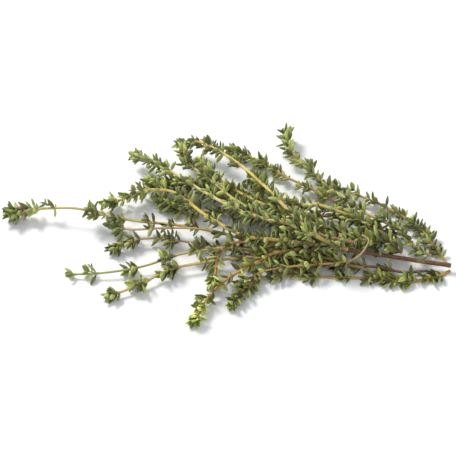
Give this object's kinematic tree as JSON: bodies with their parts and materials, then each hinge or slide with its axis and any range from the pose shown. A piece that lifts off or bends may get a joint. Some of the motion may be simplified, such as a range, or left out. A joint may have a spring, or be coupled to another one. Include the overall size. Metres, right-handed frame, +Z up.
{
  "type": "thyme bundle",
  "caption": "Loose bundle of fresh cut thyme sprigs lying flat, with small oval leaves in tufts along thin woody stems.",
  "frame": {"origin": "on the surface the bundle lies on, under the middle of its box", "axes": "+X along the bundle towards the cut ends, +Y across it, +Z up from the surface"},
  "size_m": [0.1916, 0.1067, 0.0198],
  "materials": {
    "sprig_front_low": "matt fresh leaves on a thin green to brown stem",
    "sprig_left_purple": "matt fresh leaves on a thin green to brown stem",
    "sprig_right_edge": "matt fresh leaves on a thin green to brown stem",
    "sprig_top_dark": "matt fresh leaves on a thin green to brown stem",
    "sprig_inner_back": "matt fresh leaves on a thin green to brown stem",
    "sprig_inner_low": "matt fresh leaves on a thin green to brown stem",
    "sprig_left_front": "matt fresh leaves on a thin green to brown stem",
    "sprig_left_thin": "matt fresh leaves on a thin green to brown stem",
    "sprig_far_left": "matt fresh leaves on a thin green to brown stem",
    "sprig_front_curl": "matt fresh leaves on a thin green to brown stem",
    "sprig_top_right": "matt fresh leaves on a thin green to brown stem",
    "sprig_lower_left": "matt fresh leaves on a thin green to brown stem",
    "sprig_woody": "matt fresh leaves on a thin green to brown stem",
    "sprig_inner_right": "matt fresh leaves on a thin green to brown stem",
    "sprig_inner_mid": "matt fresh leaves on a thin green to brown stem",
    "sprig_inner_left": "matt fresh leaves on a thin green to brown stem",
    "sprig_inner_top": "matt fresh leaves on a thin green to brown stem",
    "sprig_left_arch": "matt fresh leaves on a thin green to brown stem",
    "sprig_top_middle": "matt fresh leaves on a thin green to brown stem",
    "sprig_top_left": "matt fresh leaves on a thin green to brown stem",
    "sprig_top_long": "matt fresh leaves on a thin green to brown stem"
  },
  "bodies": {
    "root": {"sprig_front_low": "sprig_front_low", "sprig_left_purple": "sprig_left_purple", "sprig_right_edge": "sprig_right_edge", "sprig_top_dark": "sprig_top_dark", "sprig_inner_back": "sprig_inner_back", "sprig_inner_low": "sprig_inner_low", "sprig_left_front": "sprig_left_front", "sprig_left_thin": "sprig_left_thin", "sprig_far_left": "sprig_far_left", "sprig_front_curl": "sprig_front_curl", "sprig_top_right": "sprig_top_right", "sprig_lower_left": "sprig_lower_left", "sprig_woody": "sprig_woody", "sprig_inner_right": "sprig_inner_right", "sprig_inner_mid": "sprig_inner_mid", "sprig_inner_left": "sprig_inner_left", "sprig_inner_top": "sprig_inner_top", "sprig_left_arch": "sprig_left_arch", "sprig_top_middle": "sprig_top_middle", "sprig_top_left": "sprig_top_left", "sprig_top_long": "sprig_top_long"}
  },
  "joints": []
}
